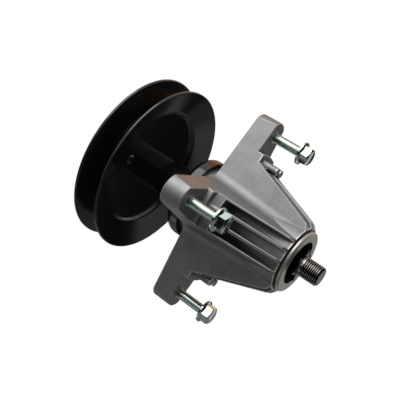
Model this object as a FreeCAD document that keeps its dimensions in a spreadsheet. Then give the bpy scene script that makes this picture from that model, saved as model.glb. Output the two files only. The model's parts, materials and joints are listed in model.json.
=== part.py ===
import FreeCAD, Part
import math
import os

import Sketcher

# Mower deck spindle: a die-cast housing with four deck arms, a shaft on two sealed ball bearings,
# a six-point blade drive with a threaded stud below, and a two-piece stamped belt pulley above.
# Frame: Z is the spindle axis with the pulley up, and z = 0 is the plane of the deck seats.

# Driving dimensions in millimetres and degrees. Heights ("_z") are measured from the deck seats.
DIMENSIONS = {
    # Housing casting
    "arm_count": 4,
    "arm_top_z": 17.5,
    "arm_reach": 83.7,
    "tip_allowance": 2.0,
    "tip_arc_radius": 12.7,
    "tip_corner_reach": 78.0,
    "tip_half_width": 10.6,
    "arm_flare": 0.2,
    "wall_draft": 4.5,
    "valley_radius": 10.5,
    "casting_edge_radius": 1.2,
    "gusset_edge_radius": 0.7,
    "pilot_radius": 57.0,
    "pilot_depth": 4.8,
    "gusset_radius": 51.0,
    "gusset_foot_radius": 31.5,
    "gusset_foot_z": -61.5,
    "gusset_end_radius": 28.0,
    "housing_end_z": -64.6,
    "hub_radius": 27.5,
    "boss_radius": 29.0,
    "boss_top_z": 25.0,
    "rib_offset": 4.9,
    "rib_thickness": 2.6,
    "slot_outer_half_width": 12.6,
    "slot_top_z": -11.8,
    "post_left_offset": 3.0,
    "post_right_offset": 6.0,
    "post_reach": 49.4,
    "post_radius": 3.3,
    "post_end_z": -19.0,
    "centre_bore_radius": 21.0,
    # Deck screws
    "bolt_circle_radius": 71.5,
    "bolt_radius": 3.97,
    "bolt_thread_radius": 3.6,
    "bolt_hole_mouth_radius": 4.4,
    "bolt_hole_mouth_depth": 0.8,
    "bolt_tip_z": 14.0,
    "bolt_tip_chamfer": 0.8,
    "bolt_seat_z": -25.0,
    "bolt_flange_radius": 9.2,
    "bolt_flange_rim": 1.2,
    "bolt_flange_height": 2.6,
    "bolt_head_top_z": -33.6,
    "bolt_hex_flats": 13.0,
    "bolt_hex_chamfer": 0.9,
    "bolt_turn": 22.0,
    # Sealed ball bearings, 20 x 47 x 14
    "bearing_bore_radius": 10.0,
    "bearing_outer_radius": 23.5,
    "bearing_width": 14.0,
    "lower_bearing_z": -51.0,
    "upper_bearing_z": 17.0,
    "ball_count": 8,
    "ball_radius": 3.97,
    "ball_clearance": 0.08,
    "ball_pitch_radius": 16.75,
    "inner_land_radius": 14.4,
    "outer_land_radius": 19.6,
    "seal_notch_radius": 20.6,
    "seal_bore_radius": 14.7,
    "seal_thickness": 1.2,
    "seal_recess": 0.5,
    "cage_inner_radius": 14.95,
    "cage_outer_radius": 18.7,
    "cage_base": 5.1,
    "cage_finger": 1.2,
    # Shaft with the six-point blade drive
    "shaft_radius": 10.0,
    "stud_radius": 7.94,
    "stud_end_z": -89.0,
    "stud_chamfer": 1.2,
    "star_count": 6,
    "star_point_radius": 13.9,
    "star_front_z": -72.0,
    "star_back_z": -62.0,
    "star_phase": -11.5,
    "shaft_shoulder_z": 85.7,
    "shaft_top_z": 105.0,
    "drive_flat": 8.5,
    "slip_clearance": 0.05,
    # Blade seat flange
    "flange_radius": 25.6,
    "flange_front_z": -68.7,
    "flange_back_z": -65.3,
    "flange_edge_radius": 1.4,
    "flange_recess_radius": 18.0,
    "flange_hub_radius": 20.0,
    "flange_floor": 2.5,
    "flange_neck_radius": 14.0,
    # Stack between the bearings and the pulley
    "spacer_tube_radius": 13.0,
    "cap_collar_radius": 14.0,
    "cap_radius": 33.5,
    "cap_skirt_z": 23.5,
    "cap_top_z": 36.0,
    "cap_sheet": 1.6,
    "cap_corner_radius": 7.0,
    "sleeve_radius": 15.0,
    # Pulley, two stamped halves
    "pulley_mid_z": 83.7,
    "pulley_radius": 72.0,
    "pulley_sheet": 2.5,
    "rim_depth": 12.8,
    "rim_edge_radius": 0.9,
    "bend_radius": 51.0,
    "bend_depth": 5.2,
    "dish_radius": 48.6,
    "groove_bend_radius": 52.5,
    "groove_foot_radius": 49.7,
    "bend_rounding": 4.0,
    "rivet_count": 2,
    "rivet_circle_radius": 34.0,
    "rivet_phase": -93.0,
    "rivet_radius": 2.5,
    "rivet_head_radius": 4.0,
    "rivet_head_height": 1.8,
    # Pulley washer and nut
    "washer_radius": 20.0,
    "washer_bore_radius": 8.2,
    "washer_thickness": 2.5,
    "nut_flange_radius": 16.0,
    "nut_flange_height": 2.6,
    "nut_height": 14.0,
    "nut_hex_flats": 23.8,
    "nut_chamfer": 1.4,
}

doc = FreeCAD.newDocument("mower_deck_spindle")
sheet = doc.addObject("Spreadsheet::Sheet", "sizes")
for row, (alias, number) in enumerate(DIMENSIONS.items(), start=1):
    sheet.set(f"A{row}", alias)
    sheet.set(f"B{row}", str(number))
    sheet.setAlias(f"B{row}", alias)
doc.recompute()


class Size:
    """A dimension that carries its value and the sheet formula that gives it."""

    def __init__(self, value, formula):
        self.value = value
        self.formula = formula

    def __add__(self, other):
        other = as_size(other)
        return Size(self.value + other.value, f"({self.formula} + {other.formula})")

    def __sub__(self, other):
        other = as_size(other)
        return Size(self.value - other.value, f"({self.formula} - {other.formula})")

    def __mul__(self, other):
        other = as_size(other)
        return Size(self.value * other.value, f"({self.formula} * {other.formula})")

    def __truediv__(self, other):
        other = as_size(other)
        return Size(self.value / other.value, f"({self.formula} / {other.formula})")

    def __neg__(self):
        return Size(-self.value, f"(0 - {self.formula})")


def as_size(number):
    return number if isinstance(number, Size) else Size(float(number), f"{number}")


def root(size):
    return Size(math.sqrt(size.value), f"sqrt({size.formula})")


def turned_by(size, degrees):
    """The two coordinates of a point at the given reach and angle, both of them Size objects."""
    cosine = Size(math.cos(math.radians(degrees.value)), f"cos({degrees.formula} * 1 deg)")
    sine = Size(math.sin(math.radians(degrees.value)), f"sin({degrees.formula} * 1 deg)")
    return size * cosine, size * sine


D = {name: Size(float(number), f"sizes.{name}") for name, number in DIMENSIONS.items()}

ZERO = as_size(0)
# How far a cut runs past the metal it takes away
OVERRUN = as_size(10)
# Lengths closer than this, in millimetres, count as equal
NEAR = 0.01
# Least volume, in cubic millimetres, that a cut has to take away
LEAST_CUT = 0.1
# Slope of the turned chamfer on hexagons, in degrees from the end face
HEX_CHAMFER_ANGLE = 30
CUTTING_FEATURES = ("PartDesign::Pocket", "PartDesign::Groove", "PartDesign::SubtractiveSphere")


def new_body(label):
    body = doc.addObject("PartDesign::Body", label)
    body.Label = label
    return body


def origin_feature(body, role):
    return next(item for item in body.Origin.OriginFeatures if item.Role == role)


def new_sketch(body, name, plane="XY_Plane", height=None):
    sketch = body.newObject("Sketcher::SketchObject", name)
    sketch.AttachmentSupport = [(origin_feature(body, plane), "")]
    sketch.MapMode = "FlatFace"
    if height is not None:
        sketch.setExpression("AttachmentOffset.Base.z", height.formula)
    return sketch


def hold(sketch, kind, references, size):
    """Adds a dimension to a sketch and binds it to the sheet."""
    index = sketch.addConstraint(Sketcher.Constraint(kind, *references, size.value))
    sketch.setExpression(f"Constraints[{index}]", size.formula)


def outline(sketch, corners):
    """Closed outline: a corner is (x, y), or (x, y, radius) where an arc runs to the next corner.

    The arc's centre is on the left of the way round.
    """
    points = [FreeCAD.Vector(corner[0].value, corner[1].value, 0) for corner in corners]
    edges = []
    for number, corner in enumerate(corners):
        start = points[number]
        end = points[(number + 1) % len(points)]
        line = Part.LineSegment(start, end)
        if len(corner) == 3:
            chord = end - start
            left = FreeCAD.Vector(-chord.y, chord.x, 0).normalize()
            radius = corner[2].value
            bulge = radius - math.sqrt(radius ** 2 - chord.Length ** 2 / 4)
            line = Part.Arc(start, (start + end) * 0.5 - left * bulge, end)
        edges.append(sketch.addGeometry(line, False))
    for number, corner in enumerate(corners):
        edge = edges[number]
        following = edges[(number + 1) % len(edges)]
        sketch.addConstraint(Sketcher.Constraint("Coincident", edge, 2, following, 1))
        hold(sketch, "DistanceX", (-1, 1, edge, 1), corner[0])
        hold(sketch, "DistanceY", (-1, 1, edge, 1), corner[1])
        if len(corner) == 3:
            hold(sketch, "Radius", (edge,), corner[2])


def circle(sketch, x, y, radius):
    centre = FreeCAD.Vector(x.value, y.value, 0)
    edge = sketch.addGeometry(Part.Circle(centre, FreeCAD.Vector(0, 0, 1), radius.value), False)
    hold(sketch, "DistanceX", (-1, 1, edge, 3), x)
    hold(sketch, "DistanceY", (-1, 1, edge, 3), y)
    hold(sketch, "Radius", (edge,), radius)


def finish_feature(body, feature):
    body.Tip = feature
    doc.recompute()
    if feature.TypeId in CUTTING_FEATURES:
        taken = feature.BaseFeature.Shape.Volume - feature.Shape.Volume
        if taken < LEAST_CUT:
            raise RuntimeError(f"{feature.Label} of {body.Label} takes nothing away")
    return feature


def revolve(body, name, corners, kind="Revolution"):
    """Turns an outline of (radius, height) corners about the spindle axis."""
    sketch = new_sketch(body, f"{name}_profile", "XZ_Plane")
    outline(sketch, corners)
    feature = body.newObject(f"PartDesign::{kind}", name)
    feature.Profile = sketch
    feature.ReferenceAxis = (sketch, ["V_Axis"])
    feature.Angle = 360
    return finish_feature(body, feature)


def extrude(body, name, sketch, length, kind="Pad", reverse=False, taper=None):
    feature = body.newObject(f"PartDesign::{kind}", name)
    feature.Profile = sketch
    feature.setExpression("Length", length.formula)
    feature.Reversed = reverse
    if taper is not None:
        feature.setExpression("TaperAngle", taper.formula)
    return finish_feature(body, feature)


def ring_pattern(body, original, count):
    pattern = body.newObject("PartDesign::PolarPattern", f"{original.Name}_ring")
    pattern.Originals = [original]
    pattern.Axis = (origin_feature(body, "Z_Axis"), [""])
    pattern.Angle = 360
    pattern.setExpression("Occurrences", count.formula)
    return finish_feature(body, pattern)


def round_edges(body, name, radius, wanted):
    """Rounds the edges of the body's last feature for which wanted(edge) is true."""
    base = body.Tip
    names = [f"Edge{number}" for number, edge in enumerate(base.Shape.Edges, start=1) if wanted(edge)]
    fillet = body.newObject("PartDesign::Fillet", name)
    fillet.Base = (base, names)
    fillet.setExpression("Radius", radius.formula)
    return finish_feature(body, fillet)


def is_circle(edge, radius, height):
    """True for an edge on a circle about the spindle axis with this radius and height."""
    curve = edge.Curve
    if not isinstance(curve, Part.Circle):
        return False
    centred = math.hypot(curve.Center.x, curve.Center.y) < NEAR
    return centred and abs(curve.Radius - radius.value) < NEAR and abs(curve.Center.z - height.value) < NEAR


def round_circles(body, name, radius, places):
    return round_edges(body, name, radius, lambda edge: any(is_circle(edge, *place) for place in places))


def ring_of_copies(label, master, count, phase=0.0):
    """A group of separate solids: the master piece repeated about the spindle axis."""
    copies = []
    for number in range(int(count.value)):
        copy = master.Shape.copy()
        copy.rotate(FreeCAD.Vector(0, 0, 0), FreeCAD.Vector(0, 0, 1), phase + 360 * number / count.value)
        copies.append(copy)
    group = doc.addObject("Part::Feature", label)
    group.Label = label
    group.Shape = Part.makeCompound(copies)
    group.Placement = FreeCAD.Placement()
    return group


def plain_tube(label, inner, outer, bottom, top):
    body = new_body(label)
    revolve(body, "tube", [(inner, bottom), (outer, bottom), (outer, top), (inner, top)])
    return body


def spindle_housing():
    body = new_body("spindle_housing")

    # Star-shaped block: straight arm walls that flare towards the hub and draw in towards the blade end
    reach = D["arm_reach"] + D["tip_allowance"]
    half_width = D["tip_half_width"] - D["arm_flare"] * (reach - D["tip_corner_reach"])
    valley = (half_width + D["arm_flare"] * reach) / (D["arm_flare"] + 1)
    star = new_sketch(body, "arm_plan", height=D["arm_top_z"])
    outline(star, [
        (reach, -half_width), (reach, half_width), (valley, valley),
        (half_width, reach), (-half_width, reach), (-valley, valley),
        (-reach, half_width), (-reach, -half_width), (-valley, -valley),
        (-half_width, -reach), (half_width, -reach), (valley, -valley),
    ])
    block_height = D["arm_top_z"] - D["housing_end_z"]
    extrude(body, "arm_block", star, block_height, reverse=True, taper=-D["wall_draft"])

    def in_valley(edge):
        ends = [vertex.Point for vertex in edge.Vertexes]
        on_diagonal = all(abs(abs(point.x) - abs(point.y)) < NEAR for point in ends)
        return on_diagonal and abs(ends[0].z - ends[-1].z) > NEAR

    round_edges(body, "valleys", D["valley_radius"], in_valley)

    # Rounded arm tips
    tip = new_sketch(body, "tip_plan", height=D["arm_top_z"])
    tip_side = D["tip_half_width"] + D["tip_allowance"]
    inset = D["tip_arc_radius"] - root(D["tip_arc_radius"] * D["tip_arc_radius"] - tip_side * tip_side)
    tip_start = D["arm_reach"] - inset
    outline(tip, [
        (tip_start, -tip_side, D["tip_arc_radius"]), (tip_start, tip_side),
        (reach + OVERRUN, tip_side), (reach + OVERRUN, -tip_side),
    ])
    tips = extrude(body, "tip_cut", tip, block_height, "Pocket")
    ring_pattern(body, tips, D["arm_count"])

    # Deck seats, pilot step and the conical edge of the gussets, chamfered at the blade end
    outside = reach + OVERRUN
    below = D["housing_end_z"] - OVERRUN
    step = -D["pilot_depth"]
    revolve(body, "underside", [
        (D["pilot_radius"], ZERO), (outside, ZERO), (outside, below), (D["gusset_end_radius"], below),
        (D["gusset_end_radius"], D["housing_end_z"]), (D["gusset_foot_radius"], D["gusset_foot_z"]),
        (D["gusset_radius"], step), (D["pilot_radius"], step),
    ], "Groove")

    # Three slots under each arm, open at the blade end, leave two walls and two ribs
    slots = new_sketch(body, "slot_plan", "XZ_Plane")
    rib_inner = D["rib_offset"] - D["rib_thickness"] / 2
    rib_outer = D["rib_offset"] + D["rib_thickness"] / 2
    for left, right in ((-rib_inner, rib_inner), (rib_outer, D["slot_outer_half_width"]),
                        (-D["slot_outer_half_width"], -rib_outer)):
        outline(slots, [(left, below), (right, below), (right, D["slot_top_z"]), (left, D["slot_top_z"])])
    slot = extrude(body, "slot_cut", slots, D["pilot_radius"], "Pocket")
    ring_pattern(body, slot, D["arm_count"])

    # Hub tube and upper boss
    revolve(body, "hub", [
        (ZERO, D["housing_end_z"]), (D["hub_radius"], D["housing_end_z"]),
        (D["hub_radius"], D["arm_top_z"]), (D["boss_radius"], D["arm_top_z"]),
        (D["boss_radius"], D["boss_top_z"]), (ZERO, D["boss_top_z"]),
    ])

    # Soft edges along the gusset walls and the ribs
    cone_slope = (D["gusset_radius"] - D["gusset_foot_radius"]) / (step - D["gusset_foot_z"])

    def on_cone(point):
        reach_here = D["gusset_radius"] - cone_slope * (step - as_size(point.z))
        return abs(math.hypot(point.x, point.y) - reach_here.value) < NEAR

    def on_gusset(edge):
        ends = [vertex.Point for vertex in edge.Vertexes]
        return len(ends) == 2 and abs(ends[0].z - ends[1].z) > NEAR and all(on_cone(point) for point in ends)

    round_edges(body, "gusset_edges", D["gusset_edge_radius"], on_gusset)

    # Ejector posts beside the ribs
    posts = new_sketch(body, "post_plan", height=step)
    circle(posts, D["post_reach"], D["post_left_offset"], D["post_radius"])
    circle(posts, D["post_reach"], -D["post_right_offset"], D["post_radius"])
    post = extrude(body, "post", posts, step - D["post_end_z"], reverse=True)
    ring_pattern(body, post, D["arm_count"])

    # Bearing seats and the narrower bore between them, whose ends the bearings sit against
    half_bearing = D["bearing_width"] / 2
    revolve(body, "bore", [
        (ZERO, below), (D["bearing_outer_radius"], below),
        (D["bearing_outer_radius"], D["lower_bearing_z"] + half_bearing),
        (D["centre_bore_radius"], D["lower_bearing_z"] + half_bearing),
        (D["centre_bore_radius"], D["upper_bearing_z"] - half_bearing),
        (D["bearing_outer_radius"], D["upper_bearing_z"] - half_bearing),
        (D["bearing_outer_radius"], D["boss_top_z"] + OVERRUN), (ZERO, D["boss_top_z"] + OVERRUN),
    ], "Groove")

    # Screw holes through the arms, each with a wider mouth on the seat
    holes = new_sketch(body, "screw_plan", height=D["arm_top_z"])
    circle(holes, D["bolt_circle_radius"], ZERO, D["bolt_thread_radius"])
    hole = extrude(body, "screw_hole", holes, D["arm_top_z"] + OVERRUN, "Pocket")
    ring_pattern(body, hole, D["arm_count"])
    mouths = new_sketch(body, "mouth_plan", height=D["bolt_hole_mouth_depth"])
    circle(mouths, D["bolt_circle_radius"], ZERO, D["bolt_hole_mouth_radius"])
    mouth = extrude(body, "screw_mouth", mouths, OVERRUN, "Pocket")
    ring_pattern(body, mouth, D["arm_count"])

    # Soft edges round the top of the arms, the arm tips and the seats
    def on_arm_outline(edge):
        heights = [vertex.Point.z for vertex in edge.Vertexes]
        middle = edge.valueAt((edge.FirstParameter + edge.LastParameter) / 2)
        reach_here = math.hypot(middle.x, middle.y)
        round_hole = isinstance(edge.Curve, Part.Circle)
        if round_hole and edge.Curve.Radius < D["bolt_hole_mouth_radius"].value + NEAR:
            return False
        at_top = [abs(z - D["arm_top_z"].value) < NEAR for z in heights]
        at_seat = [abs(z) < NEAR for z in heights]
        at_step = [abs(z - step.value) < NEAR for z in heights]
        if all(at_top):
            return reach_here > D["boss_radius"].value + NEAR
        if all(at_seat):
            return reach_here > D["pilot_radius"].value + NEAR
        if all(at_step):
            return abs(reach_here - D["pilot_radius"].value) < NEAR
        return any(at_top) and any(at_seat) and reach_here > D["bolt_circle_radius"].value

    round_edges(body, "arm_edges", D["casting_edge_radius"], on_arm_outline)
    return body


def hexagon(sketch, x, flats):
    """Regular hexagon with two corners on the sketch's x direction, centred at (x, 0)."""
    side = flats / math.sqrt(3)
    outline(sketch, [
        (x + side, ZERO), (x + side / 2, flats / 2), (x - side / 2, flats / 2),
        (x - side, ZERO), (x - side / 2, -flats / 2), (x + side / 2, -flats / 2),
    ])


def hex_head(body, flats, base_z, top_z, chamfer, upwards):
    """Hexagon between two heights on the body's axis, with its free end turned to a chamfer."""
    plan = new_sketch(body, "hex_plan", height=base_z)
    hexagon(plan, ZERO, flats)
    length = top_z - base_z if upwards else base_z - top_z
    extrude(body, "hex", plan, length, reverse=not upwards)
    reach = flats / math.sqrt(3) + chamfer
    inner = flats / 2 - chamfer
    drop = (reach - inner) * math.tan(math.radians(HEX_CHAMFER_ANGLE))
    foot = top_z - drop if upwards else top_z + drop
    revolve(body, "hex_chamfer", [(inner, top_z), (reach, top_z), (reach, foot)], "Groove")


def deck_bolts():
    master = new_body("deck_bolt")
    rim_z = D["bolt_seat_z"] - D["bolt_flange_rim"]
    shoulder_z = D["bolt_seat_z"] - D["bolt_flange_height"]
    neck = D["bolt_hex_flats"] / 2
    revolve(master, "shank", [
        (ZERO, D["bolt_tip_z"]), (D["bolt_thread_radius"] - D["bolt_tip_chamfer"], D["bolt_tip_z"]),
        (D["bolt_thread_radius"], D["bolt_tip_z"] - D["bolt_tip_chamfer"]), (D["bolt_thread_radius"], ZERO),
        (D["bolt_radius"], ZERO), (D["bolt_radius"], D["bolt_seat_z"]),
        (D["bolt_flange_radius"], D["bolt_seat_z"]), (D["bolt_flange_radius"], rim_z),
        (neck, shoulder_z), (ZERO, shoulder_z),
    ])
    hex_head(master, D["bolt_hex_flats"], rim_z, D["bolt_head_top_z"], D["bolt_hex_chamfer"], False)
    turned = master.Shape.rotated(FreeCAD.Vector(0, 0, 0), FreeCAD.Vector(0, 0, 1), D["bolt_turn"].value)
    placed = doc.addObject("Part::Feature", "deck_bolt_in_place")
    placed.Shape = turned.translated(FreeCAD.Vector(D["bolt_circle_radius"].value, 0, 0))
    return ring_of_copies("deck_bolts", placed, D["arm_count"])


def bearing(place, centre):
    """Sealed ball bearing: two rings, two seals, a crown cage and a set of balls."""
    half = D["bearing_width"] / 2
    top = centre + half
    bottom = centre - half
    groove = D["ball_radius"] + D["ball_clearance"]
    notch = D["seal_recess"] + D["seal_thickness"]
    to_outer = D["outer_land_radius"] - D["ball_pitch_radius"]
    to_inner = D["ball_pitch_radius"] - D["inner_land_radius"]
    outer_half = root(groove * groove - to_outer * to_outer)
    inner_half = root(groove * groove - to_inner * to_inner)

    outer_ring = new_body(f"{place}_bearing_outer_ring")
    revolve(outer_ring, "race", [
        (D["outer_land_radius"], centre - outer_half, groove), (D["outer_land_radius"], centre + outer_half),
        (D["outer_land_radius"], top - notch), (D["seal_notch_radius"], top - notch),
        (D["seal_notch_radius"], top), (D["bearing_outer_radius"], top), (D["bearing_outer_radius"], bottom),
        (D["seal_notch_radius"], bottom), (D["seal_notch_radius"], bottom + notch),
        (D["outer_land_radius"], bottom + notch),
    ])

    inner_ring = new_body(f"{place}_bearing_inner_ring")
    revolve(inner_ring, "race", [
        (D["inner_land_radius"], centre + inner_half, groove), (D["inner_land_radius"], centre - inner_half),
        (D["inner_land_radius"], bottom), (D["bearing_bore_radius"], bottom),
        (D["bearing_bore_radius"], top), (D["inner_land_radius"], top),
    ])

    seals = []
    for side, base in (("upper", top - notch), ("lower", bottom + D["seal_recess"])):
        seal = plain_tube(f"{place}_bearing_{side}_seal", D["seal_bore_radius"], D["seal_notch_radius"],
                          base, base + D["seal_thickness"])
        seals.append(seal)

    cage = plain_tube(f"{place}_bearing_cage", D["cage_inner_radius"], D["cage_outer_radius"],
                      centre - D["cage_base"], centre + D["cage_finger"])
    pocket = cage.newObject("PartDesign::SubtractiveSphere", "pocket")
    pocket.AttachmentSupport = [(origin_feature(cage, "XY_Plane"), "")]
    pocket.MapMode = "FlatFace"
    pocket.setExpression("Radius", groove.formula)
    pocket.setExpression("AttachmentOffset.Base.x", D["ball_pitch_radius"].formula)
    pocket.setExpression("AttachmentOffset.Base.z", centre.formula)
    finish_feature(cage, pocket)
    ring_pattern(cage, pocket, D["ball_count"])

    ball = doc.addObject("Part::Sphere", f"{place}_ball")
    ball.setExpression("Radius", D["ball_radius"].formula)
    ball.setExpression("Placement.Base.x", D["ball_pitch_radius"].formula)
    ball.setExpression("Placement.Base.z", centre.formula)
    doc.recompute()
    balls = ring_of_copies(f"{place}_bearing_balls", ball, D["ball_count"])
    return [outer_ring, inner_ring, *seals, cage, balls]


def spindle_shaft():
    body = new_body("spindle_shaft")
    revolve(body, "shaft", [
        (ZERO, D["stud_end_z"]), (D["stud_radius"] - D["stud_chamfer"], D["stud_end_z"]),
        (D["stud_radius"], D["stud_end_z"] + D["stud_chamfer"]), (D["stud_radius"], D["star_back_z"]),
        (D["shaft_radius"], D["star_back_z"]), (D["shaft_radius"], D["shaft_shoulder_z"]),
        (D["stud_radius"], D["shaft_shoulder_z"]), (D["stud_radius"], D["shaft_top_z"] - D["stud_chamfer"]),
        (D["stud_radius"] - D["stud_chamfer"], D["shaft_top_z"]), (ZERO, D["shaft_top_z"]),
    ])

    # Six-point star that drives the blade
    star = new_sketch(body, "star_plan", height=D["star_front_z"])
    valley = D["star_point_radius"] / math.sqrt(3)
    half_step = as_size(180) / D["star_count"]
    corners = []
    for number in range(2 * int(D["star_count"].value)):
        reach = valley if number % 2 else D["star_point_radius"]
        corners.append(turned_by(reach, D["star_phase"] + half_step * number))
    outline(star, corners)
    extrude(body, "star", star, D["star_back_z"] - D["star_front_z"])

    # Two flats that carry the pulley round
    flats = new_sketch(body, "flat_plan", height=D["shaft_shoulder_z"])
    edge = D["shaft_radius"] + OVERRUN
    for near, far in ((D["drive_flat"], edge), (-edge, -D["drive_flat"])):
        outline(flats, [(near, -edge), (far, -edge), (far, edge), (near, edge)])
    web_bottom = D["pulley_mid_z"] - D["pulley_sheet"]
    extrude(body, "drive_flats", flats, D["shaft_shoulder_z"] - web_bottom, "Pocket")
    return body


def blade_seat_flange():
    body = new_body("blade_seat_flange")
    bearing_face = D["lower_bearing_z"] - D["bearing_width"] / 2
    hub_top = D["star_back_z"] + D["flange_floor"]
    revolve(body, "flange", [
        (D["shaft_radius"], bearing_face), (D["shaft_radius"], D["star_back_z"]),
        (D["flange_recess_radius"], D["star_back_z"]), (D["flange_recess_radius"], D["flange_front_z"]),
        (D["flange_radius"], D["flange_front_z"]), (D["flange_radius"], D["flange_back_z"]),
        (D["flange_hub_radius"], D["flange_back_z"]), (D["flange_hub_radius"], hub_top),
        (D["flange_neck_radius"], hub_top), (D["flange_neck_radius"], bearing_face),
    ])
    round_circles(body, "rim", D["flange_edge_radius"], [
        (D["flange_radius"], D["flange_front_z"]), (D["flange_radius"], D["flange_back_z"])])
    return body


def upper_dust_cap():
    body = new_body("upper_dust_cap")
    bore = D["shaft_radius"] + D["slip_clearance"]
    inner = D["cap_radius"] - D["cap_sheet"]
    under = D["cap_top_z"] - D["cap_sheet"]
    revolve(body, "cup", [
        (bore, under), (inner, under), (inner, D["cap_skirt_z"]), (D["cap_radius"], D["cap_skirt_z"]),
        (D["cap_radius"], D["cap_top_z"]), (bore, D["cap_top_z"]),
    ])
    round_circles(body, "shoulder", D["cap_corner_radius"], [(D["cap_radius"], D["cap_top_z"])])
    round_circles(body, "inner_shoulder", D["cap_corner_radius"] - D["cap_sheet"], [(inner, under)])
    return body


def pulley_half(label, side):
    """One stamped half; side is -1 for the half next to the housing and 1 for the upper one."""
    body = new_body(label)

    def height(depth):
        return D["pulley_mid_z"] + depth * side

    # The conical flange keeps the sheet's thickness, measured square to its slope
    slope = (D["rim_depth"] - D["bend_depth"]) / (D["pulley_radius"] - D["bend_radius"])
    groove_edge = D["rim_depth"] - D["pulley_sheet"] * root(slope * slope + 1)
    groove_bend = groove_edge - slope * (D["pulley_radius"] - D["groove_bend_radius"])
    web = height(D["pulley_sheet"])
    bore = D["shaft_radius"] + D["slip_clearance"]
    revolve(body, "stamping", [
        (bore, D["pulley_mid_z"]), (bore, web), (D["dish_radius"], web),
        (D["bend_radius"], height(D["bend_depth"])), (D["pulley_radius"], height(D["rim_depth"])),
        (D["pulley_radius"], height(groove_edge)), (D["groove_bend_radius"], height(groove_bend)),
        (D["groove_foot_radius"], D["pulley_mid_z"]),
    ])
    round_circles(body, "outer_bends", D["bend_rounding"], [
        (D["bend_radius"], height(D["bend_depth"])), (D["groove_foot_radius"], D["pulley_mid_z"])])
    round_circles(body, "inner_bends", D["bend_rounding"] - D["pulley_sheet"], [
        (D["dish_radius"], web), (D["groove_bend_radius"], height(groove_bend))])
    round_circles(body, "rim_edge", D["rim_edge_radius"], [
        (D["pulley_radius"], height(D["rim_depth"])), (D["pulley_radius"], height(groove_edge))])

    # Rivet holes through the web
    holes = new_sketch(body, "rivet_plan", height=D["pulley_mid_z"])
    circle(holes, *turned_by(D["rivet_circle_radius"], D["rivet_phase"]), D["rivet_radius"])
    hole = extrude(body, "rivet_hole", holes, D["pulley_sheet"], "Pocket", reverse=side > 0)
    ring_pattern(body, hole, D["rivet_count"])

    # Two flats in the bore fit the flats of the shaft
    flats = new_sketch(body, "key_plan", height=D["pulley_mid_z"])
    key = D["drive_flat"] + D["slip_clearance"]
    edge = root(bore * bore - key * key)
    for turn in (1, -1):
        outline(flats, [(key * turn, -edge * turn, bore), (key * turn, edge * turn)])
    extrude(body, "keys", flats, D["pulley_sheet"], reverse=side < 0)
    return body


def pulley_rivets():
    master = new_body("pulley_rivet")
    half = D["pulley_sheet"]
    head = D["rivet_head_radius"]
    tall = D["rivet_head_height"]
    dome = (head * head + tall * tall) / (tall * 2)
    low = D["pulley_mid_z"] - half
    high = D["pulley_mid_z"] + half
    revolve(master, "rivet", [
        (ZERO, low - tall, dome), (head, low), (D["rivet_radius"], low), (D["rivet_radius"], high),
        (head, high, dome), (ZERO, high + tall),
    ])
    placed = doc.addObject("Part::Feature", "rivet_in_place")
    placed.Shape = master.Shape.translated(FreeCAD.Vector(D["rivet_circle_radius"].value, 0, 0))
    return ring_of_copies("pulley_rivets", placed, D["rivet_count"], D["rivet_phase"].value)


def pulley_nut():
    body = new_body("pulley_nut")
    base = D["pulley_mid_z"] + D["pulley_sheet"] + D["washer_thickness"]
    top = base + D["nut_height"]
    skirt = base + D["nut_flange_height"] / 2
    neck = D["nut_hex_flats"] / 2
    revolve(body, "skirt", [
        (D["stud_radius"], base), (D["nut_flange_radius"], base), (D["nut_flange_radius"], skirt),
        (neck, base + D["nut_flange_height"]), (D["stud_radius"], base + D["nut_flange_height"]),
    ])
    hex_head(body, D["nut_hex_flats"], skirt, top, D["nut_chamfer"], True)
    bore = new_sketch(body, "bore_plan", height=top)
    circle(bore, ZERO, ZERO, D["stud_radius"])
    extrude(body, "bore", bore, D["nut_height"], "Pocket")
    return body


lower_bearing_top = D["lower_bearing_z"] + D["bearing_width"] / 2
upper_bearing_bottom = D["upper_bearing_z"] - D["bearing_width"] / 2
upper_bearing_top = D["upper_bearing_z"] + D["bearing_width"] / 2
slip_bore = D["shaft_radius"] + D["slip_clearance"]
web_top = D["pulley_mid_z"] + D["pulley_sheet"]

pieces = [
    spindle_housing(),
    deck_bolts(),
    *bearing("lower", D["lower_bearing_z"]),
    *bearing("upper", D["upper_bearing_z"]),
    spindle_shaft(),
    blade_seat_flange(),
    plain_tube("bearing_spacer_tube", slip_bore, D["spacer_tube_radius"], lower_bearing_top,
               upper_bearing_bottom),
    plain_tube("cap_spacer_collar", slip_bore, D["cap_collar_radius"], upper_bearing_top,
               D["cap_top_z"] - D["cap_sheet"]),
    upper_dust_cap(),
    plain_tube("pulley_spacer_sleeve", slip_bore, D["sleeve_radius"], D["cap_top_z"],
               D["pulley_mid_z"] - D["pulley_sheet"]),
    pulley_half("pulley_lower_half", -1),
    pulley_half("pulley_upper_half", 1),
    pulley_rivets(),
    plain_tube("pulley_washer", D["washer_bore_radius"], D["washer_radius"], web_top,
               web_top + D["washer_thickness"]),
    pulley_nut(),
]

doc.recompute()
for item in doc.Objects:
    if "Invalid" in item.State or "Error" in item.State:
        raise RuntimeError(f"{item.Label} failed: {item.State}")
for piece in pieces:
    if piece.Shape.isNull() or not piece.Shape.isValid():
        raise RuntimeError(f"{piece.Label} has no valid shape")

os.makedirs("parts", exist_ok=True)
for piece in pieces:
    piece.Shape.exportStep(f"parts/{piece.Label}.step")
    print(piece.Label, len(piece.Shape.Solids), round(piece.Shape.Volume))
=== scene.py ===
import json
import math

import bmesh
import bpy
from mathutils import Matrix, Vector


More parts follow.
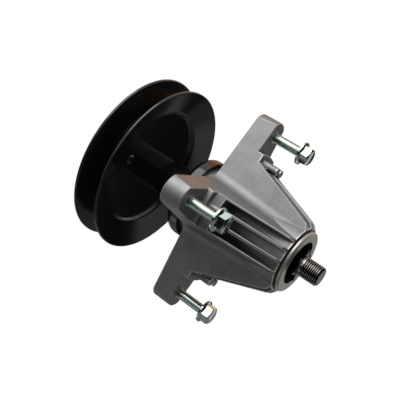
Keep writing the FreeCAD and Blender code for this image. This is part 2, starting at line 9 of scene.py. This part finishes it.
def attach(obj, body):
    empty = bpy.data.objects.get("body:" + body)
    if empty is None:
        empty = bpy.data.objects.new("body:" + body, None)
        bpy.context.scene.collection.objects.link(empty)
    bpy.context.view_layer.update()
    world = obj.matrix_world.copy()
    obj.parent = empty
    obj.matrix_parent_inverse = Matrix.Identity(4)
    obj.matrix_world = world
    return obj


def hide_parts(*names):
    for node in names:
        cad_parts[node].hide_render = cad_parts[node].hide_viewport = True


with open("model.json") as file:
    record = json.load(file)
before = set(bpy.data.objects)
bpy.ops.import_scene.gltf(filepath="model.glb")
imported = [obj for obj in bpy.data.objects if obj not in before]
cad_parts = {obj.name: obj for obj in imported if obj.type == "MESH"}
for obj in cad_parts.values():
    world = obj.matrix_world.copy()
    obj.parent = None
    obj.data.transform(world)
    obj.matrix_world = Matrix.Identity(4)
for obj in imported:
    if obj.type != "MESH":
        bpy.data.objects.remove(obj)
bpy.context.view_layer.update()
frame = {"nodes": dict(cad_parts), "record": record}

MM = 0.001
FULL_TURN = 2 * math.pi

# Sizes in millimetres. Heights ("_Z") are along the spindle axis from the deck seats, with the pulley up,
# and a crest is the share of the pitch that lies at the thread's full radius.
SCREW_CIRCLE = 71.5
SCREW_COUNT = 4
SCREW_RADIUS = 3.97
SCREW_PITCH = 25.4 / 18
SCREW_CREST = 0.125
SCREW_HEAD_Z = -25.0
# The screws' threads end in the mouths of their holes
SCREW_THREAD_TOP_Z = 0.7
# Heights clear of the screws at both ends
BELOW_SCREWS_Z = -40.0
ABOVE_SCREWS_Z = 20.0
STUD_RADIUS = 7.94
# The stud's pitch as the photograph shows it at this scale
STUD_PITCH = 1.56
STUD_CREST = 0.22
STUD_CHAMFER = 1.2
STUD_END_Z = -89.0
STAR_FRONT_Z = -72.0
NECK_LENGTH = 2.2
SHOULDER_Z = 85.7
SHAFT_TOP_Z = 105.0

# How a thread is made: its depth and half the width of its root, as shares of the pitch, and how far
# threaded and plain stretches run into each other, in millimetres
THREAD_DEPTH = 0.6134
ROOT_HALF = 0.125
LAP = 0.2
SHORT_LAP = 0.1
# Points closer than this are one, in millimetres; the turns of a helix meet less closely
MERGE = 0.001
HELIX_MERGE = 0.005
# Edges that turn further than this stay sharp
SMOOTH_DEGREES = 35

# Nearer to the axis than this, in millimetres, turned steel is painted near black as shade: in the thread's
# roots and in the ring's recess
STUD_ROOT_SHADE_REACH = 7.82
RING_RECESS_SHADE_REACH = 18.2
# Heights between which the shaft is painted near black as shade, round the star in its recess
STAR_SHADE_STRETCH = (-72.2, -61.0)
# Width over which the metal's tone goes over to the painted shade, in millimetres
SHADE_FADE = 0.3

# The photograph's viewpoint: from below the blade end, looking up along the housing
VIEW_PLACE = Vector((0.0366, -0.50527, -0.20755))
VIEW_FORWARD = Vector((-0.071, 0.9112, 0.4058)).normalized()
VIEW_RIGHT = VIEW_FORWARD.cross(Vector((0.85, -0.1576, 0.5027))).normalized()
VIEW_UP = VIEW_RIGHT.cross(VIEW_FORWARD)
VIEW_SENSOR = 36.0
VIEW_LENS = 60.465
# How far the studio's cards stand from the object, in metres
CARD_DISTANCE = 1.2


def srgb(code):
    """Linear colour of an sRGB hex value."""
    shares = [int(code[place:place + 2], 16) / 255 for place in (1, 3, 5)]
    linear = [share / 12.92 if share <= 0.04045 else ((share + 0.055) / 1.055) ** 2.4 for share in shares]
    return (*linear, 1.0)


def add_node(tree, kind, settings=None, links=None):
    """Adds a node; settings go to its sockets or properties, links feed its sockets."""
    node = tree.nodes.new(kind)
    for name, value in (settings or {}).items():
        if isinstance(name, int) or name in node.inputs:
            node.inputs[name].default_value = value
        else:
            setattr(node, name, value)
    for name, source in (links or {}).items():
        tree.links.new(source, node.inputs[name])
    return node


def new_material(name, settings):
    """A material with its shader's even values set, its node tree, shader and object coordinates."""
    material = bpy.data.materials.new(name)
    material.use_nodes = True
    tree = material.node_tree
    shader = tree.nodes["Principled BSDF"]
    for socket, value in settings.items():
        shader.inputs[socket].default_value = value
    place = add_node(tree, "ShaderNodeTexCoord").outputs["Object"]
    return material, tree, shader, place


def grain(millimetres):
    """Noise scale, per metre, whose features are about this large."""
    return 1 / (millimetres * MM)


def cast_aluminium():
    """Die-cast aluminium, shot blasted: a soft even grey, clouded by the die, with a fine grit."""
    material, tree, shader, place = new_material("cast_aluminium_shot_blasted", {"Metallic": 0.85})
    cloud = add_node(tree, "ShaderNodeTexNoise", {"Scale": grain(11), "Detail": 4.0}, {"Vector": place})
    # Real grit is near 0.2 mm; it is drawn at 1.1 mm so that it shows at this distance
    grit = add_node(tree, "ShaderNodeTexNoise", {"Scale": grain(1.1), "Detail": 3.0}, {"Vector": place})
    speckle = add_node(tree, "ShaderNodeMix", {0: 0.5}, {2: cloud.outputs["Fac"], 3: grit.outputs["Fac"]})
    mixed_tone = add_node(tree, "ShaderNodeMix", {"data_type": "RGBA", 6: srgb("#595959"), 7: srgb("#9f9fa0")},
                    {0: speckle.outputs[0]})
    # Outside edges are painted brighter over about a millimetre: partly metal rubbed bright by the blasting,
    # partly a painted highlight for the light that the edges catch
    depth = add_node(tree, "ShaderNodeAmbientOcclusion",
                     {"inside": True, "samples": 8, "Distance": 1.0 * MM})
    edge = add_node(tree, "ShaderNodeMapRange", {"From Min": 0.95, "From Max": 0.65},
                    {"Value": depth.outputs["AO"]})
    tone = add_node(tree, "ShaderNodeMix", {"data_type": "RGBA", 7: srgb("#e2e1de")},
                    {0: edge.outputs["Result"], 6: mixed_tone.outputs[2]})
    matt = add_node(tree, "ShaderNodeMapRange", {"To Min": 0.42, "To Max": 0.56},
                    {"Value": grit.outputs["Fac"]})
    relief = add_node(tree, "ShaderNodeBump", {"Strength": 0.5, "Distance": 0.06 * MM},
                      {"Height": grit.outputs["Fac"]})
    tree.links.new(tone.outputs[2], shader.inputs["Base Color"])
    tree.links.new(matt.outputs["Result"], shader.inputs["Roughness"])
    tree.links.new(relief.outputs["Normal"], shader.inputs["Normal"])
    return material


def black_enamel():
    """Black baked enamel on pressed steel: deep black with a soft gloss and a slight orange peel."""
    material, tree, shader, place = new_material("black_baked_enamel", {"IOR": 1.5})
    cloud = add_node(tree, "ShaderNodeTexNoise", {"Scale": grain(14), "Detail": 2.0}, {"Vector": place})
    peel = add_node(tree, "ShaderNodeTexNoise", {"Scale": grain(1.6), "Detail": 1.0}, {"Vector": place})
    tone = add_node(tree, "ShaderNodeMix", {"data_type": "RGBA", 6: srgb("#0b0b0c"), 7: srgb("#131314")},
                    {0: cloud.outputs["Fac"]})
    matt = add_node(tree, "ShaderNodeMapRange", {"To Min": 0.14, "To Max": 0.19},
                    {"Value": cloud.outputs["Fac"]})
    relief = add_node(tree, "ShaderNodeBump", {"Strength": 0.06, "Distance": 0.02 * MM},
                      {"Height": peel.outputs["Fac"]})
    tree.links.new(tone.outputs[2], shader.inputs["Base Color"])
    tree.links.new(matt.outputs["Result"], shader.inputs["Roughness"])
    tree.links.new(relief.outputs["Normal"], shader.inputs["Normal"])
    return material


def zinc_plate():
    """Bright zinc plate on rolled steel: a clear sheen with a faint blue-green tint."""
    material, tree, shader, place = new_material("bright_zinc_plate", {"Metallic": 1.0})
    tint = add_node(tree, "ShaderNodeTexNoise", {"Scale": grain(4), "Detail": 2.0}, {"Vector": place})
    dull = add_node(tree, "ShaderNodeTexNoise", {"Scale": grain(5), "Detail": 1.0}, {"Vector": place})
    tone = add_node(tree, "ShaderNodeMix", {"data_type": "RGBA", 6: srgb("#b8cecb"), 7: srgb("#dce1da")},
                    {0: tint.outputs["Fac"]})
    matt = add_node(tree, "ShaderNodeMapRange", {"To Min": 0.12, "To Max": 0.18},
                    {"Value": dull.outputs["Fac"]})
    tree.links.new(tone.outputs[2], shader.inputs["Base Color"])
    tree.links.new(matt.outputs["Result"], shader.inputs["Roughness"])
    return material


def painted_black_shade(tree, colour, mask):
    """The colour with near-black painted shade over it where the mask is 1."""
    mixed_tone = add_node(tree, "ShaderNodeMix", {"data_type": "RGBA", 7: srgb("#18181c")}, {0: mask, 6: colour})
    return mixed_tone.outputs[2]


def turned_steel(name, dark, light, roughness, metal, shade_reach=0.0, shade_stretch=None):
    """Turned steel: fine rings about the axis that draw the light out across them.

    Nearer to the axis than the reach given, in millimetres, and in the stretch given between two heights, it
    is
    painted near black as shade: in a thread's roots, round the star and in the ring's recess.
    """
    material, tree, shader, place = new_material(name, {"Metallic": metal})
    flat = add_node(tree, "ShaderNodeVectorMath", {"operation": "MULTIPLY", 1: (1.0, 1.0, 0.0)}, {0: place})
    reach = add_node(tree, "ShaderNodeVectorMath", {"operation": "LENGTH"}, {0: flat.outputs["Vector"]})
    height = add_node(tree, "ShaderNodeSeparateXYZ", {}, {"Vector": place})
    along = add_node(tree, "ShaderNodeMath", {"operation": "ADD"},
                     {0: reach.outputs["Value"], 1: height.outputs["Z"]})
    # Tool marks are near 0.15 mm apart; they are drawn at 0.7 mm so that they show
    rings = add_node(tree, "ShaderNodeTexNoise",
                     {"noise_dimensions": "1D", "Scale": grain(0.7), "Detail": 2.0},
                     {"W": along.outputs["Value"]})
    cloud = add_node(tree, "ShaderNodeTexNoise", {"Scale": grain(6), "Detail": 3.0}, {"Vector": place})
    tone = add_node(tree, "ShaderNodeMix", {"data_type": "RGBA", 6: srgb(dark), 7: srgb(light)},
                    {0: cloud.outputs["Fac"]})
    matt = add_node(tree, "ShaderNodeMapRange", {"To Min": roughness - 0.06, "To Max": roughness + 0.06},
                    {"Value": rings.outputs["Fac"]})
    relief = add_node(tree, "ShaderNodeBump", {"Strength": 0.2, "Distance": 0.03 * MM},
                      {"Height": rings.outputs["Fac"]})
    colour = tone.outputs[2]
    # Painted shade, near black, near the axis and in the given stretch of heights
    if shade_reach:
        inner = add_node(tree, "ShaderNodeMapRange",
                         {"From Min": shade_reach * MM, "From Max": (shade_reach - SHADE_FADE) * MM},
                         {"Value": reach.outputs["Value"]})
        colour = painted_black_shade(tree, colour, inner.outputs["Result"])
    if shade_stretch:
        low, high = shade_stretch
        stretch_shade_mask = add_node(tree, "ShaderNodeMath",
                          {"operation": "COMPARE", 1: (low + high) / 2 * MM, 2: (high - low) / 2 * MM},
                          {0: height.outputs["Z"]})
        colour = painted_black_shade(tree, colour, stretch_shade_mask.outputs["Value"])
    tree.links.new(colour, shader.inputs["Base Color"])
    tree.links.new(matt.outputs["Result"], shader.inputs["Roughness"])
    tree.links.new(relief.outputs["Normal"], shader.inputs["Normal"])
    return material


def moulded(name, dark, light, roughness):
    """Moulded rubber or nylon: a dull skin with a slight cloud."""
    material, tree, shader, place = new_material(name, {})
    cloud = add_node(tree, "ShaderNodeTexNoise", {"Scale": grain(3), "Detail": 2.0}, {"Vector": place})
    tone = add_node(tree, "ShaderNodeMix", {"data_type": "RGBA", 6: srgb(dark), 7: srgb(light)},
                    {0: cloud.outputs["Fac"]})
    matt = add_node(tree, "ShaderNodeMapRange", {"To Min": roughness - 0.05, "To Max": roughness + 0.05},
                    {"Value": cloud.outputs["Fac"]})
    tree.links.new(tone.outputs[2], shader.inputs["Base Color"])
    tree.links.new(matt.outputs["Result"], shader.inputs["Roughness"])
    return material


FINISHES = {
    "cast_aluminium": cast_aluminium(),
    "black_enamel": black_enamel(),
    "zinc_steel": zinc_plate(),
    # Turned steel: grey glints on the crests of the thread, with near-black painted shade in its roots and
    # on the star
    "shaft_steel": turned_steel("turned_steel_painted_shade", "#827f7c", "#96928f", roughness=0.18, metal=0.95,
                                shade_reach=STUD_ROOT_SHADE_REACH, shade_stretch=STAR_SHADE_STRETCH),
    # Turned and left bare: a satin ring round a recess painted near black as shade
    "turned_steel": turned_steel("bare_turned_steel", "#9d9993", "#aeaaa5", roughness=0.32, metal=0.75,
                                 shade_reach=RING_RECESS_SHADE_REACH),
    # Ground: pale and clear
    "bearing_steel": turned_steel("ground_bearing_steel", "#b9b9ba", "#cccccd", roughness=0.16, metal=1.0),
    # Moulded rubber: dull black
    "seal_rubber": moulded("moulded_seal_rubber", "#161616", "#1f1f1f", roughness=0.6),
    # Moulded nylon: cream with a slight gloss
    "cage_nylon": moulded("moulded_cage_nylon", "#cfc8b2", "#ddd7c4", roughness=0.45),
}


def dress_cad_nodes():
    """Gives each CAD node the finish of its slot."""
    for subpart in frame["record"]["subparts"]:
        node = frame["nodes"][subpart["node"]]
        node.data.materials.clear()
        node.data.materials.append(FINISHES[subpart["material_slot"]])


def cut_off(bm, height, keeps_above):
    """Cuts a shape off at a height, in millimetres, and leaves it open there."""
    everything = bm.verts[:] + bm.edges[:] + bm.faces[:]
    bmesh.ops.bisect_plane(bm, geom=everything, plane_co=(0, 0, height * MM), plane_no=(0, 0, 1),
                           clear_inner=keeps_above, clear_outer=not keeps_above)


def close_ends(bm):
    """Closes a shape where it was cut."""
    bmesh.ops.holes_fill(bm, edges=[edge for edge in bm.edges if edge.is_boundary])


def kept_stretch(node, low, high):
    """A merged copy of a CAD node between two heights, in millimetres, closed where it is cut."""
    bm = bmesh.new()
    bm.from_mesh(frame["nodes"][node].data)
    bmesh.ops.remove_doubles(bm, verts=bm.verts, dist=MERGE * MM)
    cut_off(bm, low, keeps_above=True)
    close_ends(bm)
    cut_off(bm, high, keeps_above=False)
    close_ends(bm)
    return bm


def threaded_rod(radius, pitch, low, high, crest, steps=32):
    """A rod along Z with a helical thread, in that many steps to a turn, cut square at both heights."""
    root = radius - THREAD_DEPTH * pitch
    profile = [
        (root, 0), (root, ROOT_HALF), (radius, (1 - crest) / 2),
        (radius, (1 + crest) / 2), (root, 1 - ROOT_HALF), (root, 1),
    ]
    turns = math.ceil((high - low) / pitch) + 2
    bm = bmesh.new()
    corners = [bm.verts.new((reach * MM, 0, (low + (share - 1) * pitch) * MM)) for reach, share in profile]
    edges = [bm.edges.new(pair) for pair in zip(corners, corners[1:])]
    bmesh.ops.spin(bm, geom=corners + edges, axis=(0, 0, 1), dvec=(0, 0, pitch * MM / steps),
                   angle=FULL_TURN * turns, steps=steps * turns)
    bmesh.ops.remove_doubles(bm, verts=bm.verts, dist=HELIX_MERGE * MM)
    cut_off(bm, low, keeps_above=True)
    cut_off(bm, high, keeps_above=False)
    close_ends(bm)
    return bm


def chamfer_end(bm, end, radius, chamfer):
    """Draws a rod's end in to a turned chamfer."""
    for vert in bm.verts:
        limit = (radius - max(chamfer - abs(vert.co.z / MM - end), 0)) * MM
        reach = math.hypot(vert.co.x, vert.co.y)
        if reach > limit:
            vert.co.x *= limit / reach
            vert.co.y *= limit / reach


def add_shape(bm, other, move=(0, 0, 0)):
    """Adds another bmesh, moved by millimetres, as a separate shell."""
    bmesh.ops.translate(other, verts=other.verts, vec=Vector(move) * MM)
    mesh = bpy.data.meshes.new("part")
    other.to_mesh(mesh)
    other.free()
    bm.from_mesh(mesh)
    bpy.data.meshes.remove(mesh)


def new_piece(name, bm, slot, body, nodes):
    """Makes a piece of a bmesh, in its slot's finish, that rides on a body in place of CAD nodes."""
    bmesh.ops.remove_doubles(bm, verts=bm.verts, dist=MERGE * MM)
    bmesh.ops.recalc_face_normals(bm, faces=bm.faces)
    mesh = bpy.data.meshes.new(name)
    bm.to_mesh(mesh)
    bm.free()
    # Normals stored with the CAD mesh don't fit the changed one
    mesh.attributes.remove(mesh.attributes["custom_normal"])
    mesh.polygons.foreach_set("use_smooth", [True] * len(mesh.polygons))
    mesh.set_sharp_from_angle(angle=math.radians(SMOOTH_DEGREES))
    mesh.materials.append(FINISHES[slot])
    piece = bpy.data.objects.new(name, mesh)
    bpy.context.scene.collection.objects.link(piece)
    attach(piece, body)
    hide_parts(*nodes)


def deck_screws():
    """The four deck screws with their threads cut between the head and the seat."""
    bm = kept_stretch("deck_bolts", BELOW_SCREWS_Z, SCREW_HEAD_Z + LAP)
    tips = kept_stretch("deck_bolts", SCREW_THREAD_TOP_Z - SHORT_LAP, ABOVE_SCREWS_Z)
    add_shape(bm, tips)
    for number in range(SCREW_COUNT):
        angle = FULL_TURN * number / SCREW_COUNT
        place = (SCREW_CIRCLE * math.cos(angle), SCREW_CIRCLE * math.sin(angle), 0)
        rod = threaded_rod(SCREW_RADIUS, SCREW_PITCH, SCREW_HEAD_Z - LAP, SCREW_THREAD_TOP_Z, SCREW_CREST)
        add_shape(bm, rod, place)
    new_piece("deck_screws_threaded", bm, "zinc_steel", "housing", ["deck_bolts"])


def spindle_shaft():
    """The shaft with the blade thread on its stud and the nut thread on its upper end."""
    neck_end = STAR_FRONT_Z - NECK_LENGTH
    bm = kept_stretch("spindle_shaft", neck_end - SHORT_LAP, SHOULDER_Z + LAP)
    for end, low, high in ((STUD_END_Z, STUD_END_Z, neck_end), (SHAFT_TOP_Z, SHOULDER_Z - LAP, SHAFT_TOP_Z)):
        rod = threaded_rod(STUD_RADIUS, STUD_PITCH, low, high, STUD_CREST, steps=48)
        chamfer_end(rod, end, STUD_RADIUS, STUD_CHAMFER)
        add_shape(bm, rod)
    new_piece("spindle_shaft_threaded", bm, "shaft_steel", "spindle", ["spindle_shaft"])


def card(name, width, height, material):
    """A card in the XY plane that belongs to the studio and not to the object."""
    bm = bmesh.new()
    bmesh.ops.create_grid(bm, x_segments=1, y_segments=1, size=0.5)
    bmesh.ops.scale(bm, vec=(width, height, 1), verts=bm.verts)
    mesh = bpy.data.meshes.new(name)
    bm.to_mesh(mesh)
    bm.free()
    mesh.materials.append(material)
    board = bpy.data.objects.new(name, mesh)
    bpy.context.scene.collection.objects.link(board)
    return board


def reflector(name, side, bottom, top, width, colour, upright=VIEW_UP, distance=CARD_DISTANCE):
    """A card on one side of the object that only glossy surfaces see; metres.

    It gives tone to the metal, but no light and no shadow.
    """
    material = new_material(name, {
        "Base Color": srgb("#000000"), "Roughness": 1.0, "Specular IOR Level": 0.0,
        "Emission Color": srgb(colour), "Emission Strength": 1.0,
    })[0]
    board = card(name, width, top - bottom, material)
    turn = Matrix((upright.cross(side), upright, side)).transposed()
    place = side * distance + upright * (top + bottom) / 2
    board.matrix_world = Matrix.Translation(place) @ turn.to_4x4()
    board.visible_camera = False
    board.visible_diffuse = False
    board.visible_transmission = False
    board.visible_shadow = False


def pale_floor():
    """A plain pale floor below the object, which hangs free."""
    pale = new_material("pale_floor", {
        "Base Color": srgb("#e8e8e8"), "Roughness": 0.8,
        "Emission Color": srgb("#ffffff"), "Emission Strength": 0.35,
    })[0]
    floor = card("floor", 12.0, 12.0, pale)
    floor.location.z = -0.32
    floor.visible_glossy = False
    floor.visible_diffuse = False


def white_surround():
    """White to the camera and in reflections, and a plain soft light on everything else."""
    world = bpy.data.worlds.new("studio")
    bpy.context.scene.world = world
    world.use_nodes = True
    tree = world.node_tree
    tree.nodes.clear()
    rays = add_node(tree, "ShaderNodeLightPath")
    seen = add_node(tree, "ShaderNodeMath", {"operation": "MAXIMUM"},
                    {0: rays.outputs["Is Camera Ray"], 1: rays.outputs["Is Glossy Ray"]})
    shown = add_node(tree, "ShaderNodeMath", {"operation": "MAXIMUM"},
                     {0: seen.outputs["Value"], 1: rays.outputs["Is Transmission Ray"]})
    ambient = add_node(tree, "ShaderNodeBackground", {"Color": srgb("#e6e9ee"), "Strength": 0.4})
    white = add_node(tree, "ShaderNodeBackground", {"Color": (1.0, 1.0, 1.0, 1.0), "Strength": 1.0})
    mix = add_node(tree, "ShaderNodeMixShader", {}, {
        0: shown.outputs["Value"], 1: ambient.outputs["Background"], 2: white.outputs["Background"],
    })
    add_node(tree, "ShaderNodeOutputWorld", {}, {"Surface": mix.outputs["Shader"]})


def soft_lamps():
    """A soft key light from the front, over one arm, and a weaker fill from the back."""
    for name, toward, distance, size, watts in (
            ("key", (0.7, -0.55, 0.4), 1.1, 0.9, 8.0),
            ("back_fill", (-0.55, 0.8, 0.35), 1.4, 1.2, 6.0),
    ):
        lamp = bpy.data.lights.new(name, "AREA")
        lamp.shape = "SQUARE"
        lamp.size = size
        lamp.energy = watts
        light = bpy.data.objects.new(name, lamp)
        light.location = Vector(toward).normalized() * distance
        light.rotation_euler = Vector(toward).to_track_quat("Z", "Y").to_euler()
        bpy.context.scene.collection.objects.link(light)


def reflection_cards():
    """What the metal mirrors.

    Flags stand round it, brown boards behind and above it, a dark shade beside the camera, and two pale
    cards low behind the blade end.
    """
    low_back = (VIEW_FORWARD - VIEW_RIGHT * 0.33).normalized()
    beside_camera = -(VIEW_RIGHT * 0.75 + VIEW_FORWARD * 0.66)
    pulley_side = Vector((0, 0, 1))
    reflector("front_flag", -VIEW_FORWARD, -1.6, 0.22, 3.0, "#65655a")
    reflector("back_flag", VIEW_FORWARD, -1.0, 0.05, 3.0, "#1e1e1e")
    reflector("brown_board", VIEW_FORWARD, 0.05, 1.4, 2.2, "#f2b486")
    reflector("low_flag", -VIEW_UP, -1.5, 1.5, 3.0, "#757573", upright=VIEW_FORWARD)
    reflector("left_flag", -VIEW_RIGHT, -0.75, 0.2, 3.0, "#66665d")
    reflector("camera_shade", beside_camera, -0.14, 0.42, 0.7, "#0a0a0a")
    reflector("right_flag", VIEW_RIGHT, -1.1, 0.2, 3.0, "#222222")
    reflector("low_back_card", low_back, -0.75, -0.3, 1.6, "#8a8a8a", distance=0.8)
    reflector("blade_end_card", Vector((0, 1, 0)), -0.25, -0.092, 0.3, "#bdbcb6", pulley_side, distance=0.2)
    reflector("brown_ceiling", VIEW_UP, 0.46, 1.25, 2.2, "#f2b486", upright=VIEW_FORWARD)


def photo_camera():
    """The camera at the photograph's viewpoint."""
    turn = Matrix((VIEW_RIGHT, VIEW_UP, -VIEW_FORWARD)).transposed()
    lens = bpy.data.cameras.new("photo_camera")
    lens.sensor_width = VIEW_SENSOR
    lens.lens = VIEW_LENS
    camera = bpy.data.objects.new("photo_camera", lens)
    camera.matrix_world = Matrix.Translation(VIEW_PLACE) @ turn.to_4x4()
    bpy.context.scene.collection.objects.link(camera)
    bpy.context.scene.camera = camera


dress_cad_nodes()
deck_screws()
spindle_shaft()
pale_floor()
white_surround()
soft_lamps()
reflection_cards()
photo_camera()
bpy.context.scene.view_settings.view_transform = "Standard"
